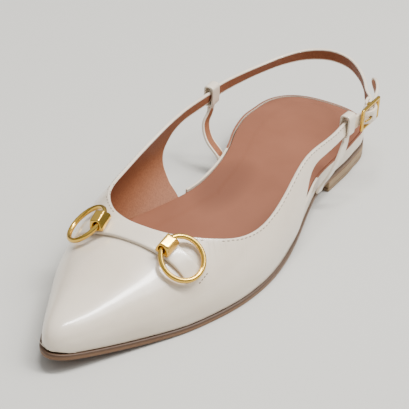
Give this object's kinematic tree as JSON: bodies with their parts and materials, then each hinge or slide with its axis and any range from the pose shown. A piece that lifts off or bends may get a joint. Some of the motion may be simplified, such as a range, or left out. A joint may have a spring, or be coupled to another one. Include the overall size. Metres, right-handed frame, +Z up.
{
  "type": "sling back flat",
  "caption": "Pointed flat shoe for the left foot with a low heel, side wings, a buckled strap behind the heel and a banded vamp with hinged rings.",
  "frame": {"origin": "on the floor under the middle of the heel's rest face", "axes": "+X from heel to toe, +Y to the outer side of the foot, which is the buckle's side, and +Z up"},
  "size_m": [0.2526, 0.082, 0.0461],
  "materials": {
    "leather": "cream patent leather with a soft pearl sheen",
    "sock": "smooth matt brown leather",
    "outsole": "tan leather with a painted edge",
    "heel": "stacked board, light brown and matt",
    "top_piece": "matt brown rubber",
    "gold": "polished light gold plating"
  },
  "bodies": {
    "shoe": {"outsole": "outsole", "heel": "heel", "heel_top_piece": "top_piece", "insole": "sock", "seat_rand": "leather", "upper": "leather", "sling_strap": "leather", "buckle_strap": "leather", "buckle_prong": "gold", "buckle_frame": "gold", "loop_lateral": "leather", "loop_medial": "leather", "upright_lateral": "leather", "upright_medial": "leather", "vamp_band": "leather", "knob_lateral": "gold", "knob_medial": "gold"},
    "ring_lateral": {"ring_lateral": "gold"},
    "ring_medial": {"ring_medial": "gold"}
  },
  "joints": [
    {"name": "ring_lateral_swing", "type": "hinge", "parent": "shoe", "child": "ring_lateral", "pos_m": [0.16188, 0.01497, 0.03605], "axis": [0.9299, -0.1035, -0.3531], "range_deg": [0, 60]},
    {"name": "ring_medial_swing", "type": "hinge", "parent": "shoe", "child": "ring_medial", "pos_m": [0.16179, -0.01604, 0.03601], "axis": [-0.9364, -0.0988, 0.3366], "range_deg": [0, 60]}
  ]
}
